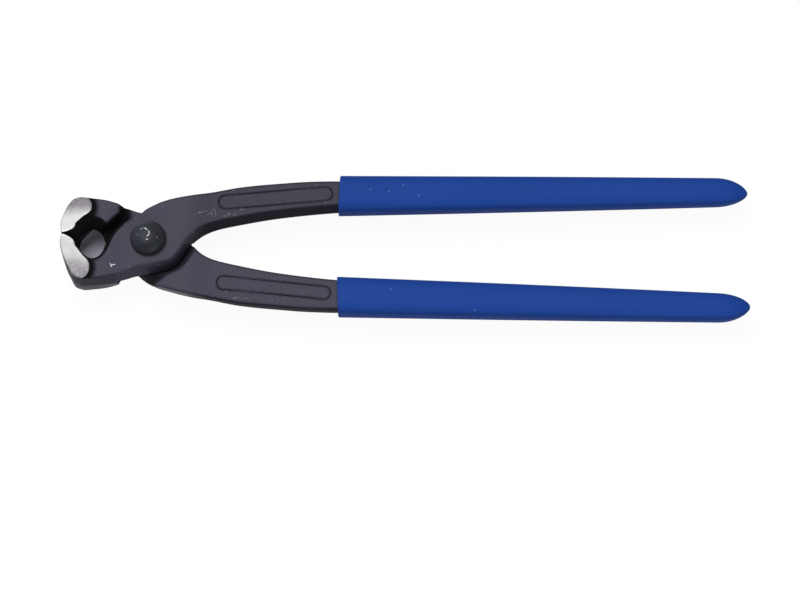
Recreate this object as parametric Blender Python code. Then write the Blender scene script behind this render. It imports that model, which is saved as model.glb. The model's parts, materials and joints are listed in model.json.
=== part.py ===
"""End cutting nippers: two forged halves lapped on a rivet, with dipped sleeves on the handles.

Both halves are the same forging. The rear one is the front one turned half a turn about X.
Everything is drawn about the rivet's axis: +X runs towards the handles, +Y towards the front
half's handle, and +Z is square to the flat of the tool. Lengths at the top are in millimetres.
"""
from math import cos, pi, radians, sin, sqrt

import bmesh
import bpy
import numpy as np

MM = 0.001

# Overall places along the tool
MOUTH_X = 68.4            # where the sleeves begin
SLEEVE_LENGTH = 148.6
TIP_LENGTH = 11.5         # rounded end of a sleeve
TIP_POWER = 0.6           # 0.5 is a round end, 1 a pointed one
TANG_END_INSET = 12.5     # the forging stops this far short of the sleeve's tip
TANG_START = 4.0          # from the mouth to where the forging has its width for the sleeve

# Joint
PLATE_HALF = 6.1          # lap plane to the plate's face
NECK_HALF = 6.9           # the same behind the jaw
LAP_GAP = 0.3
OPENING = 25.0            # degrees from closed to fully open
ARM_GAP = 0.35            # pocket wall to the swept edge of the other plate
ARM_RAMP = 2.6            # how far the pocket's wall leans back up to the arm's face
NOSE_RAMP = 0.4           # and how far it leans at the nose
SHANK_RADIUS = 3.9
SHANK_CLEARANCE = 0.1
HEAD_RADIUS = 6.3
HEAD_HEIGHT = 4.0
TAIL_RADIUS = 5.5
TAIL_HEIGHT = 1.7
SEAT_GAP = 0.3
# The head's and the tail's curves, as shares of their radius and height
HEAD_SHARES = ((0.3, 0.975), (0.58, 0.9), (0.8, 0.77), (0.94, 0.58), (1.0, 0.32))
FOOT_SHARE = 0.985         # the head draws in to this share of its radius where it meets the plate
TAIL_SHARES = ((0.95, 0.5), (0.7, 0.88))

# Jaw
JAW_HALF = 12.0           # lap plane to the ground side, at the cutting edge
JAW_SIDE_SLOPE = 0.331    # the ground side falls away from the edge by this much per mm
CUT_GAP = 0.3             # between the two closed edges
EDGE_LAND = 1.0
BEVEL_DEPTH = 2.2         # the jaw's plan runs straight this far back from the cutting edge
STEP_START = 8.6          # the step behind the ground side begins this far from the cutting plane
STEP_RISE = 1.6           # reaches its full run over this much more
STEP_RUN = 1.7            # and then comes out this far
STEP_BEND_SHARES = (0.3, 0.42)   # where it bends, as shares of its run and its height
STEP_SINK = 0.2           # its foot is sunk this far into the neck
JAW_LEVELS = (CUT_GAP / 2, 1.0, 2.0, 3.0, 4.0, 4.9, 5.8, 6.6, 7.4, 8.0, 8.6, 9.2, 9.8, 10.7, 11.6,
              12.5, 13.4, 14.2, 15.0, 15.6, 16.1)

# Handle
ARM_HALF_NEAR = 5.1       # half thickness behind the joint
ARM_HALF_FAR = 4.6        # half thickness at the sleeve
OUTER_ROUND = 1.4         # soft outer corners of the arms
INNER_ROUND = 0.4
ROUND_BEND_SHARE = 0.29         # where a soft corner passes its middle, as a share of its size
SLEEVE_WALL = 1.3
SLEEVE_FIT = 0.3
SLEEVE_FLATNESS = 0.86    # thickness of a sleeve over its width
SQUARE_POWER = 0.78      # 1 is an ellipse, less is squarer
TIP_LEAN = 0.8            # the sleeve's tip leans in towards the other handle
LIP_ROUND = 0.5

# Pressed panel outline on each face of an arm
PANEL_LINE = 0.8
FLOOR_SHARE = 0.22        # half the groove's floor, as a share of its width
PANEL_DEPTH = 0.45
PANEL_CLEAR = 0.3         # the groove's cutter stands this far out of the face

# Plan of one half at its widest line: the edge nearer the other handle, from jaw to sleeve
LOW_EDGE = ((-23.4, -16.05), (-21.4, -15.9), (-16.4, -15.5), (-11.9, -14.9), (-8.4, -14.05),
            (-4.4, -12.8), (0.6, -11.9), (4.2, -10.9), (7.8, -9.7), (9.8, -8.6), (11.5, -6.7),
            (13.0, -4.4), (14.8, -1.2), (17.0, 1.6), (19.8, 3.9), (24.0, 5.8), (32.6, 7.9),
            (45.6, 10.4), (58.6, 12.1), (66.6, 12.9))
# and the edge that runs from the eye over the rivet to the outside of the handle
HIGH_EDGE = ((-23.4, -8.6), (-20.8, -8.2), (-19.0, -7.8), (-17.3, -6.4), (-16.2, -4.0), (-15.4, -1.4),
             (-14.3, 1.6), (-12.3, 4.8), (-9.0, 7.8), (-5.3, 10.3), (-2.4, 12.7), (0.6, 14.5),
             (3.2, 15.8), (7.0, 17.2), (11.4, 18.3), (20.1, 20.2), (33.1, 22.6), (45.6, 24.0),
             (58.6, 25.0), (66.6, 25.2))
NOSE_POINT = 4            # the plate's own edge starts after this many points of the high edge
# Lean of each wall from its widest line up to the face
LOW_DRAFT = ((-23.4, 0.5), (-16.4, 0.8), (-11.9, 1.3), (-7.4, 1.9), (0.6, 2.7), (7.6, 2.2),
             (12.6, 1.9), (20.6, 1.6), (66.6, 1.4))
HIGH_DRAFT = ((-23.4, 0.1), (-20.4, 0.6), (-17.9, 1.2), (-15.4, 1.7), (-1.4, 1.7), (12, 1.7),
              (18, 2.1), (27, 2.0), (42, 1.7), (66.6, 1.6))
# The outer wall is widest at the lap plane, but along the arm this share of the way down from it
PARTING_SHARE = ((8, 0.0), (18, 0.65), (56, 0.65), (67, 0.0))
SLOPE_REACH = 0.25        # an edge's slope is read this far to each side
# Half the thickness along the body: the neck, the plate, then the arm, which thins on to the sleeve
BODY_HALF = ((-23.4, NECK_HALF - 0.8), (-19.4, NECK_HALF), (-16.4, NECK_HALF), (-6.4, PLATE_HALF),
             (13.6, PLATE_HALF), (24.6, ARM_HALF_NEAR))
ROUND_RISE = ((10.6, INNER_ROUND), (22.6, OUTER_ROUND))  # the outer corner softens along here
# Handle line from the sleeve's mouth to its tip, and half the sleeve's width
HANDLE_LINE = ((0, 19.4), (74, 20.85), (139, 22.15), (160, 22.6))
SLEEVE_HALF = ((0, 7.3), (74, 6.35), (139, 5.25), (160, 4.8))
# Plan of one jaw, as places along X for each distance from the cutting plane
JAW_FRONT = ((0, -30.9), (1.9, -31.2), (4.35, -31.4), (8.0, -30.7), (12, -29.3), (14.4, -27.8),
             (15.6, -26.2), (16.1, -24.6))
JAW_REAR = ((0, JAW_FRONT[0][1] + EDGE_LAND), (2.0, -27.8), (3.0, -26.8), (4.3, -26.1),
            (5.7, -25.3), (6.9, -24.3), (7.9, -22.9), (9.0, -21.6), (10.5, -20.8), (12.0, -20.7),
            (13.4, -21.2), (14.6, -22.2), (16.1, -23.8))
# Room left round the other plate's nose: direction about the rivet, in degrees, and gap
NOSE_GAP = ((112, 3.9), (130, 4.0), (134, 3.3), (137, 2.8), (155, 2.5), (159, 2.7), (163, 4.4))
ARM_START = 236.0         # direction where the pocket's edge starts to follow the arm
POCKET_SPARE = 1.6        # where no wall stands, the pocket's cut passes the plate by this much
# Directions of the points on the pocket's edge, closer together round the nose and the arm
POCKET_TURNS = (*range(0, 110, 6), *range(111, 166, 3), *range(168, 234, 6), *range(237, 358, 4))
# The pocket's wall: height over the lap plane, and share of its lean
POCKET_WALL = ((-LAP_GAP / 2, 0.0), (1.0, 0.12), (2.6, 0.42), (4.4, 0.9), (PLATE_HALF + 1, 1.25))
# Panel centre lines on the +Z and -Z faces, from one end's centre to the other's
PANEL_FRONT = ((27.6, 14.9), (63.4, 18.6))
PANEL_BACK = ((27.4, 15.7), (63.6, 19.2))
FRONT_WIDTH = 5.3
BACK_WIDTH = 4.6

SMALL = 1e-6
LOFT_STEP = 1.5           # spacing of the sections where the plan turns fast
SEGMENTS_ROUND = 32
SEGMENTS_SLEEVE = 20


def smooth(points, x):
    """Reads a smooth curve through the points (monotone cubic, so it never overshoots)."""
    px, py = np.array(points, float).T
    width = np.diff(px)
    slope = np.diff(py) / width
    tangent = np.empty_like(px)
    tangent[0], tangent[-1] = slope[0], slope[-1]
    same = slope[:-1] * slope[1:] > 0
    weight_a, weight_b = 2 * width[1:] + width[:-1], width[1:] + 2 * width[:-1]
    safe_a = np.where(same, slope[:-1], 1.0)
    safe_b = np.where(same, slope[1:], 1.0)
    mean = (weight_a + weight_b) / (weight_a / safe_a + weight_b / safe_b)
    tangent[1:-1] = np.where(same, mean, 0.0)
    x = np.clip(np.asarray(x, float), px[0], px[-1])
    i = np.clip(np.searchsorted(px, x, side="right") - 1, 0, len(width) - 1)
    t = (x - px[i]) / width[i]
    rise = (2 * t ** 3 - 3 * t ** 2 + 1) * py[i] + (3 * t ** 2 - 2 * t ** 3) * py[i + 1]
    lean = (t ** 3 - 2 * t ** 2 + t) * tangent[i] + (t ** 3 - t ** 2) * tangent[i + 1]
    return rise + lean * width[i]


def reset():
    for thing in list(bpy.data.objects):
        bpy.data.objects.remove(thing)


def material(name, colour, roughness, metallic):
    made = bpy.data.materials.new(name)
    made.use_nodes = True
    shader = made.node_tree.nodes["Principled BSDF"]
    shader.inputs["Base Color"].default_value = (*colour, 1.0)
    shader.inputs["Roughness"].default_value = roughness
    shader.inputs["Metallic"].default_value = metallic
    return made


def mesh_object(name, points, faces, cutter=False):
    """Makes a closed mesh from millimetre points, with its faces turned outwards."""
    mesh = bpy.data.meshes.new(name)
    mesh.from_pydata([tuple(float(v) * MM for v in p) for p in points], [], faces)
    work = bmesh.new()
    work.from_mesh(mesh)
    bmesh.ops.remove_doubles(work, verts=work.verts, dist=SMALL)
    bmesh.ops.recalc_face_normals(work, faces=work.faces)
    work.to_mesh(mesh)
    work.free()
    made = bpy.data.objects.new(name, mesh)
    bpy.context.collection.objects.link(made)
    if cutter:
        made.hide_render = True
        made.display_type = "WIRE"
    return made


def loft(name, rings, cutter=False):
    """Joins rings of equal point counts end to end and closes both ends."""
    count = len(rings[0])
    points = [p for ring in rings for p in ring]
    faces = []
    for k in range(len(rings) - 1):
        for i in range(count):
            j = (i + 1) % count
            faces.append((k * count + i, k * count + j, (k + 1) * count + j, (k + 1) * count + i))
    faces.append(tuple(range(count)))
    faces.append(tuple(range(len(points) - count, len(points))))
    return mesh_object(name, points, faces, cutter)


def revolve(name, profile):
    """Turns (radius, height) points about Z; the first and last lie on the axis."""
    turned = [(0, 0, profile[0][1]), (0, 0, profile[-1][1])]
    rows = profile[1:-1]
    for radius, height in rows:
        for k in range(SEGMENTS_ROUND):
            angle = 2 * pi * k / SEGMENTS_ROUND
            turned.append((radius * cos(angle), radius * sin(angle), height))
    faces = []
    last = 2 + (len(rows) - 1) * SEGMENTS_ROUND
    for k in range(SEGMENTS_ROUND):
        n = (k + 1) % SEGMENTS_ROUND
        faces.append((0, 2 + k, 2 + n))
        faces.append((1, last + n, last + k))
        for row in range(len(rows) - 1):
            a = 2 + row * SEGMENTS_ROUND
            b = a + SEGMENTS_ROUND
            faces.append((a + k, b + k, b + n, a + n))
    return mesh_object(name, turned, faces)


def combine(target, others, operation):
    """Adds one exact Boolean for each other object."""
    for other in others:
        step = target.modifiers.new(other.name, "BOOLEAN")
        step.operation = operation
        step.solver = "EXACT"
        step.object = other


def handle_centre(x):
    return smooth(HANDLE_LINE, x - MOUTH_X)


def sleeve_half(x):
    """Half the sleeve's width; over the last stretch it closes like a bullet."""
    start = SLEEVE_LENGTH - TIP_LENGTH
    u = np.clip((x - MOUTH_X - start) / TIP_LENGTH, 0.0, 1.0)
    return smooth(SLEEVE_HALF, x - MOUTH_X) * (1 - u ** 2) ** TIP_POWER


def tang_end():
    return MOUTH_X + SLEEVE_LENGTH - TANG_END_INSET


def tang_points(side):
    """Edge of the forging inside its sleeve, on the outer (+1) or inner (-1) side."""
    half = []
    for x in (MOUTH_X + TANG_START, 0.5 * (MOUTH_X + tang_end()), tang_end()):
        width = sleeve_half(x) - SLEEVE_WALL - SLEEVE_FIT
        half.append((x, float(handle_centre(x) + side * width)))
    return tuple(half)


def body_half_thickness(x):
    far = (sleeve_half(tang_end()) - SLEEVE_WALL - SLEEVE_FIT) * SLEEVE_FLATNESS
    return smooth(BODY_HALF + ((MOUTH_X, ARM_HALF_FAR), (tang_end(), far)), x)


def edge_lean(line, draft, x):
    """How far a wall leans in across Y at x, its draft being square to the edge's own run."""
    rise = float(smooth(line, x + SLOPE_REACH) - smooth(line, x - SLOPE_REACH))
    return float(smooth(draft, x)) * sqrt(1 + (rise / (2 * SLOPE_REACH)) ** 2)


def body_section(x, grow=0.0):
    """One YZ outline of the forging at x, with drafted walls that are widest at the parting line."""
    low_line = LOW_EDGE + tang_points(-1)
    high_line = HIGH_EDGE + tang_points(1)
    low = float(smooth(low_line, x)) - grow
    high = float(smooth(high_line, x)) + grow
    top = float(body_half_thickness(x)) + grow
    low_in = edge_lean(low_line, LOW_DRAFT, x)
    high_in = edge_lean(high_line, HIGH_DRAFT, x)
    drop = float(smooth(PARTING_SHARE, x))
    outer = float(smooth(ROUND_RISE, x))
    outline = [(low, 0.0)]
    low_corner = [(low + low_in * (1 - INNER_ROUND / top), top - INNER_ROUND),
                  (low + low_in + INNER_ROUND, top)]
    outline += low_corner
    high_corners = []
    for face in (1, -1):
        edge = high - high_in * abs(face + drop) / (1 + drop)
        below = high - high_in * abs(face * (1 - outer / top) + drop) / (1 + drop)
        bend = ROUND_BEND_SHARE * outer
        high_corners.append([(edge - outer, top), (edge - bend, top - bend), (below, top - outer)])
    outline += high_corners[0]
    outline.append((high, -drop * top))
    outline += [(y, -z) for y, z in reversed(high_corners[1])]
    outline += [(y, -z) for y, z in reversed(low_corner)]
    return [(x, y, z) for y, z in outline]


def body_stations():
    joint_end = BODY_HALF[-1][0]
    turning = np.arange(LOW_EDGE[0][0], joint_end, LOFT_STEP)
    arm = np.linspace(joint_end, MOUTH_X, 10)
    tang = np.linspace(MOUTH_X + TANG_START, tang_end(), 7)
    return np.concatenate([turning, arm, tang])


def jaw_place(line, y):
    """Place along X on one line of the jaw's plan: straight over the bevel, then a smooth curve."""
    if y < BEVEL_DEPTH:
        return float(np.interp(y, *zip(*line)))
    return float(smooth(line, y))


def make_jaw():
    """Stacks XZ outlines away from the cutting plane, with the ground sides sloping back."""
    rings = []
    for y in JAW_LEVELS:
        front, back = jaw_place(JAW_FRONT, y), jaw_place(JAW_REAR, y)
        side = JAW_HALF - JAW_SIDE_SLOPE * y
        run = STEP_RUN * min(max((y - STEP_START) / STEP_RISE, 0.0), 1.0)
        inner = min(NECK_HALF, side) - STEP_SINK
        bend_run, bend_rise = STEP_BEND_SHARES
        middle = inner + bend_rise * (side - inner)
        half = [(front, side), (back, side), (back + bend_run * run, middle), (back + run, inner)]
        ring = half + [(x, -z) for x, z in reversed(half)]
        rings.append([(x, -y, z) for x, z in ring])
    return loft("jaw_block", rings, cutter=True)


def plate_reach(direction):
    """Distance from the rivet to the plate's own edge, by direction in degrees."""
    upper = np.linspace(0, HIGH_EDGE[NOSE_POINT - 1][0], 40)
    lower = np.linspace(LOW_EDGE[0][0], BODY_HALF[-1][0], 130)
    below = smooth(LOW_EDGE, lower) < 0
    x = np.concatenate([upper, lower[below]])
    y = np.concatenate([smooth(HIGH_EDGE, upper), smooth(LOW_EDGE, lower[below])])
    angle = np.degrees(np.arctan2(y, x)) % 360
    return np.interp(direction, angle, np.hypot(x, y))


def swept_radius(direction):
    """Furthest that the other half's plate reaches in a direction while the tool opens."""
    return float(plate_reach(direction - np.linspace(0, OPENING, 13)).max())


def pocket_radius(direction):
    """Edge of the pocket in one half for the other half's plate, by direction in degrees."""
    if NOSE_GAP[0][0] < direction < NOSE_GAP[-1][0]:
        return swept_radius(direction) + float(smooth(NOSE_GAP, direction))
    if direction < ARM_START:
        return float(plate_reach(360 - direction)) + POCKET_SPARE
    return swept_radius(direction) + ARM_GAP


def make_pocket():
    """Cutter for the lap on the front half's underside: a drafted ring of the pocket's edge."""
    rings = []
    for height, share in POCKET_WALL:
        ring = []
        for direction in POCKET_TURNS:
            lean = ARM_RAMP if direction > ARM_START else NOSE_RAMP
            radius = pocket_radius(direction) + lean * share
            angle = radians(direction)
            ring.append((radius * cos(angle), -radius * sin(angle), -height))
        rings.append(ring)
    return loft("lap_pocket", rings, cutter=True)


def make_panel_line(name, ends, width, face):
    """Cutter for a pressed outline with round ends, sunk into the +Z or -Z face of the arm."""
    (x0, y0), (x1, y1) = ends
    along = np.arctan2(y1 - y0, x1 - x0)
    rings = []
    for offset, deep in ((-0.5, False), (0.5, False), (FLOOR_SHARE, True), (-FLOOR_SHARE, True)):
        ring = []
        radius = width / 2 + offset * PANEL_LINE
        for centre, start in (((x1, y1), -90), ((x0, y0), 90)):
            for turn in range(0, 181, 20):
                angle = along + radians(start + turn)
                x = centre[0] + radius * cos(angle)
                y = centre[1] + radius * sin(angle)
                z = float(body_half_thickness(x)) + (-PANEL_DEPTH if deep else PANEL_CLEAR)
                ring.append((x, y, face * z))
        rings.append(ring)
    count = len(rings[0])
    points = [p for ring in rings for p in ring]
    faces = []
    for k in range(4):
        a, b = k * count, ((k + 1) % 4) * count
        for i in range(count):
            j = (i + 1) % count
            faces.append((a + i, a + j, b + j, b + i))
    return mesh_object(name, points, faces, cutter=True)


def make_hole():
    """Cutter for the rivet's hole."""
    radius = SHANK_RADIUS + SHANK_CLEARANCE
    reach = PLATE_HALF + SHANK_RADIUS
    made = revolve("rivet_hole", [(0, -reach), (radius, -reach), (radius, reach), (0, reach)])
    made.hide_render = True
    made.display_type = "WIRE"
    return made


def make_forging():
    """One complete half: body, jaw, lap pocket, rivet hole and panel outlines."""
    half = loft("front_half", [body_section(x) for x in body_stations()])
    combine(half, [make_jaw()], "UNION")
    cuts = [make_pocket(), make_hole(),
            make_panel_line("panel_front", PANEL_FRONT, FRONT_WIDTH, 1),
            make_panel_line("panel_back", PANEL_BACK, BACK_WIDTH, -1)]
    combine(half, cuts, "DIFFERENCE")
    return half


def make_rivet():
    seat = PLATE_HALF + SEAT_GAP
    head = [(0, seat + HEAD_HEIGHT)]
    for radius, height in HEAD_SHARES:
        head.append((HEAD_RADIUS * radius, seat + HEAD_HEIGHT * height))
    head.append((HEAD_RADIUS * FOOT_SHARE, seat))
    head += [(SHANK_RADIUS, seat), (SHANK_RADIUS, -seat)]
    tail = [(TAIL_RADIUS, -seat)]
    for radius, height in TAIL_SHARES:
        tail.append((TAIL_RADIUS * radius, -seat - TAIL_HEIGHT * height))
    tail.append((0, -seat - TAIL_HEIGHT))
    return revolve("pivot_rivet", head + tail)


def sleeve_ring(x, shrink=0.0):
    """Oval outline of the sleeve at x, a little squarer than an ellipse."""
    end = MOUTH_X + SLEEVE_LENGTH
    u = min(max((x - end + TIP_LENGTH) / TIP_LENGTH, 0.0), 1.0)
    centre = float(handle_centre(x)) - TIP_LEAN * u ** 2
    wide = float(sleeve_half(x)) - shrink
    ring = []
    for k in range(SEGMENTS_SLEEVE):
        angle = 2 * pi * (k + 0.5) / SEGMENTS_SLEEVE
        c, s = cos(angle), sin(angle)
        y = wide * abs(c) ** SQUARE_POWER * (1 if c > 0 else -1)
        z = wide * SLEEVE_FLATNESS * abs(s) ** SQUARE_POWER * (1 if s > 0 else -1)
        ring.append((x, centre + y, z))
    return ring


def make_sleeve():
    """Sleeve with a socket for the forging's tang, open at the mouth."""
    end = MOUTH_X + SLEEVE_LENGTH
    tip = [end - TIP_LENGTH * (1 - u) for u in (0.0, 0.25, 0.45, 0.62, 0.77, 0.89, 0.97)]
    stations = list(np.linspace(MOUTH_X + LIP_ROUND, end - TIP_LENGTH, 9)[:-1]) + tip
    rings = [sleeve_ring(MOUTH_X, LIP_ROUND * 0.6)] + [sleeve_ring(x) for x in stations]
    sleeve = loft("front_grip", rings)
    inside = [MOUTH_X - 1.0, MOUTH_X + TANG_START, *np.linspace(MOUTH_X + 12, tang_end(), 6)]
    bore = [body_section(x, SLEEVE_FIT) for x in inside]
    bore.append([(tang_end() + SLEEVE_FIT, y, z) for _, y, z in bore[-1]])
    combine(sleeve, [loft("sleeve_bore", bore, cutter=True)], "DIFFERENCE")
    return sleeve


def bake(target):
    """Replaces an object's mesh by its finished shape, so that a copy can share it."""
    bpy.context.view_layer.update()
    finished = target.evaluated_get(bpy.context.evaluated_depsgraph_get())
    mesh = bpy.data.meshes.new_from_object(finished)
    target.modifiers.clear()
    target.data = mesh


def finish(made, look, angle=35):
    made.data.materials.clear()
    made.data.materials.append(look)
    made.data.shade_smooth()
    made.data.set_sharp_from_angle(angle=radians(angle))


def turned_copy(name, source):
    """The same shape turned half a turn about X, which is how the two halves face each other."""
    made = bpy.data.objects.new(name, source.data.copy())
    made.rotation_euler = (pi, 0, 0)
    bpy.context.collection.objects.link(made)
    return made


def pivot_place():
    """The rivet's place when the tool lies centred on the origin with its underside at z = 0."""
    left = min(x for _, x in JAW_FRONT)
    right = MOUTH_X + SLEEVE_LENGTH
    return (-(left + right) / 2 * MM, 0.0, JAW_HALF * MM)


def main():
    reset()
    front_half = make_forging()
    bake(front_half)
    rear_half = turned_copy("rear_half", front_half)
    rivet = make_rivet()
    front_grip = make_sleeve()
    bake(front_grip)
    rear_grip = turned_copy("rear_grip", front_grip)
    finish(front_half, material("front_forging", (0.075, 0.073, 0.09), 0.42, 0.75), 30)
    finish(rear_half, material("rear_forging", (0.07, 0.068, 0.085), 0.42, 0.75), 30)
    finish(rivet, material("rivet_steel", (0.06, 0.065, 0.065), 0.3, 0.85))
    finish(front_grip, material("front_vinyl", (0.018, 0.065, 0.30), 0.5, 0.0))
    finish(rear_grip, material("rear_vinyl", (0.018, 0.062, 0.29), 0.5, 0.0))
    pivot = bpy.data.objects.new("pivot", None)
    pivot.location = pivot_place()
    bpy.context.collection.objects.link(pivot)
    for thing in bpy.data.objects:
        if thing.type == "MESH":
            thing.parent = pivot


main()
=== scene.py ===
"""Looks of the end cutting nippers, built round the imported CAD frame.

Two forged halves with ground jaw sides, a domed rivet and two dipped sleeves. Shapes are worked out
in millimetres about the rivet's axis: +X runs towards the handles and +Z is square to the flat of the
tool. A forging is drawn as a field, a number at every point of a fine block that is negative inside
the steel, and its skin is the surface where the field is nought. The rear half is the front one
turned half a turn about X, so both come from one field.
"""
import json
from math import cos, pi, radians, sin

import bpy
import numpy as np
from mathutils import Matrix, Vector


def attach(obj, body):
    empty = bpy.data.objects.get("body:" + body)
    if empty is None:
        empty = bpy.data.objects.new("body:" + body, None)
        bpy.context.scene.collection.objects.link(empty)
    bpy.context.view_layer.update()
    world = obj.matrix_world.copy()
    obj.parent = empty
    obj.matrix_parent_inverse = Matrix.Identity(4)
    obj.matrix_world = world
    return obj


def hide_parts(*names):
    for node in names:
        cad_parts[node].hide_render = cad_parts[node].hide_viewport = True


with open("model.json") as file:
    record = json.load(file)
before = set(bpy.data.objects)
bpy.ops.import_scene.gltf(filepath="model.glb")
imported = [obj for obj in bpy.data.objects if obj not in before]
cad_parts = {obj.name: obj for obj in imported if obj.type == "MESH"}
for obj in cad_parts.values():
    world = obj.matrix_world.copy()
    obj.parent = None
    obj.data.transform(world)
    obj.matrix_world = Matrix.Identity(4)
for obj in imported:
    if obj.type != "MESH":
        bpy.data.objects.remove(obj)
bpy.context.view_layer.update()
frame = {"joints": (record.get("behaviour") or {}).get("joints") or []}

MM = 0.001
RIVET_AXIS = np.array(frame["joints"][0]["pos_m"]) / MM
SKIN_CUT = 0.02           # every skin lies this far inside its drawn size, so the CAD box holds it

# Joint
PLATE_HALF = 6.1
NECK_HALF = 6.9
LAP_GAP = 0.3
OPENING = 25.0
ARM_GAP = 0.35
ARM_RAMP = 2.6
NOSE_RAMP = 0.4
HOLE_RADIUS = 4.0
HEAD_RADIUS = 6.45
HEAD_HEIGHT = 4.8
HEAD_FULLNESS = 0.8       # less makes the dome's shoulder fuller
HEAD_CAP = 0.84           # the dome is this share of the head's height, and the rest a low rim
TAIL_RADIUS = 5.5
TAIL_HEIGHT = 1.7
TAIL_FULLNESS = 0.75
TAIL_CROWN = 0.9
RIM_OUT = 0.985           # shares of the radius at which the rim tucks in and meets the seat
RIM_IN = 0.97
RIM_ROUND = 0.08
SHANK_RADIUS = 3.9
SEAT_HEIGHT = PLATE_HALF + 0.05

# Jaw
JAW_HALF = 12.0
JAW_SIDE_SLOPE = 0.331
CUT_GAP = 0.3
EDGE_LAND = 1.0
HOLLOW_RUN = 2.2          # the hollow behind the ground side runs out over this much
HOLLOW_CURVE = 2.8
JAW_END_X = -13.4         # the jaw's hollow is done before this place

# Handle
MOUTH_X = 68.4
SLEEVE_LENGTH = 148.4
TIP_LENGTH = 11.5
TIP_POWER = 0.6           # 0.5 is a round end, 1 a pointed one
FORGING_END_X = MOUTH_X + 4.5
SLEEVE_FLATNESS = 0.84
SQUARE_POWER = 0.62       # 1 is an ellipse, less is squarer
SLEEVE_TRIM = 0.96        # keeps the round skin inside the CAD's flats
MOUTH_SLANT = 0.28        # the mouth's outer side lies this much further along than its middle
SLANT_RUN = 6.0           # and the slant is gone this far along the sleeve
TIP_LEAN = 0.6
TIP_CLOSED = 0.985        # the last oval of the tip, as a share of the way to its point
LIP_ROUND = 0.5

# Pressed panel outline on each face of an arm, by the ends of its middle line and its width
PANEL_LINE = 0.9
PANEL_DEPTH = 0.42
PANEL_FRONT = ((27.6, 14.9), (63.4, 18.6))
PANEL_BACK = ((27.4, 15.7), (63.6, 19.2))
FRONT_WIDTH = 5.3
BACK_WIDTH = 4.6

# Plan of one half at its widest line, its two edges from the jaw to the sleeve
LOW_EDGE = ((-23.4, -16.05), (-21.4, -15.9), (-16.4, -15.5), (-11.9, -14.9), (-8.4, -14.05),
            (-4.4, -12.8), (0.6, -11.9), (4.2, -10.9), (7.8, -9.7), (9.8, -8.6), (11.5, -6.7),
            (13.0, -4.4), (14.8, -1.2), (17.0, 1.6), (19.8, 3.9), (24.0, 5.8), (32.6, 7.9),
            (45.6, 10.4), (58.6, 12.1), (66.6, 12.9), (76.6, 13.6))
HIGH_EDGE = ((-21.9, -5.1), (-20.5, -5.35), (-18.9, -4.85), (-17.6, -3.7), (-16.8, -2.1), (-16.2, -0.3),
             (-15.2, 2.0), (-13.1, 5.4), (-9.6, 8.4), (-5.5, 10.8), (-2.4, 13.5), (0.6, 15.25),
             (3.2, 16.55), (7.0, 17.85), (11.4, 18.9), (20.1, 20.3), (33.1, 22.7), (45.6, 24.0),
             (58.6, 25.0), (66.6, 25.2), (76.6, 25.2))
NOSE_POINT = 4            # the plate's own edge starts after this many points of the high edge
# The jaw's part of the eye at its widest line, as places along X by distance from the cutting plane
EYE_WALL = ((CUT_GAP / 2, -29.9), (0.8, -27.3), (1.5, -25.7), (2.6, -24.9), (3.6, -24.0), (4.6, -22.8))
# Lean of each wall from its widest line up to the face
LOW_DRAFT = ((-27.4, 0.05), (-23.4, 0.5), (-16.4, 0.8), (-11.9, 1.3), (-7.4, 1.9), (0.6, 2.7),
             (7.6, 2.2), (12.6, 1.9), (20.6, 1.6), (66.6, 1.4))
HIGH_DRAFT = ((-29.5, 0.1), (-27.5, 0.5), (-26.0, 1.1), (-24.0, 1.5), (-22.5, 2.3), (-20.8, 3.0),
              (-18.6, 3.3), (-17.0, 3.0), (-15.4, 2.7), (-9.4, 2.9), (-5.0, 2.7), (-1.4, 2.4),
              (12, 2.4), (18, 2.2), (27, 2.0), (42, 1.7), (66.6, 1.6))
# The outer wall is widest at the lap plane, but along the arm this share of the way down from it
PARTING_SHARE = ((-6, 0.0), (0, 0.8), (58, 0.8), (68, 0.6))
# Half the thickness of the body, and how widely each wall rounds into the face, along X
BODY_HALF = ((-19.4, NECK_HALF), (-16.4, NECK_HALF), (-6.4, PLATE_HALF), (13.6, PLATE_HALF),
             (24.6, 5.1), (68.6, 4.6))
LOW_ROUND = ((-23.4, 0.4), (-15.4, 0.6), (14.6, 0.7), (30.6, 1.0))
HIGH_ROUND = ((-22.4, 0.5), (-19.4, 1.2), (-11.4, 0.9), (-1.4, 0.8), (9, 0.9), (22, 1.2), (40, 1.4))
# The rear arm came off the dies a little wider on its outside, and the front jaw's corner rounder
REAR_SWELL = ((-8, 0.0), (-3, 0.9), (0, 1.2), (4, 0.85), (8, 0.65), (12, 0.8), (20, 0.95), (28, 0.9),
              (45, 0.65), (58, 0.5), (76, 0.4))
CORNER_WORN = ((3, 0.0), (8, 0.5), (12, 0.95), (15, 0.8), (18, 0.8))    # by distance from the cut
CORNER_START = (-22.0, -26.0)     # places along X where the wear sets in and is full
CORNER_INWARD = 0.5               # share of the wear that also goes towards the cutting plane
SWELL_BAND = (6.0, 2.0)           # the swell sets in and is full this far inside the arm's edge
# Middle line and half width of a handle's sleeve, by distance from its mouth
HANDLE_LINE = ((0, 19.4), (74, 20.85), (139, 22.15), (160, 22.6))
SLEEVE_HALF = ((0, 7.3), (74, 6.35), (139, 5.25), (160, 4.8))
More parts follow.
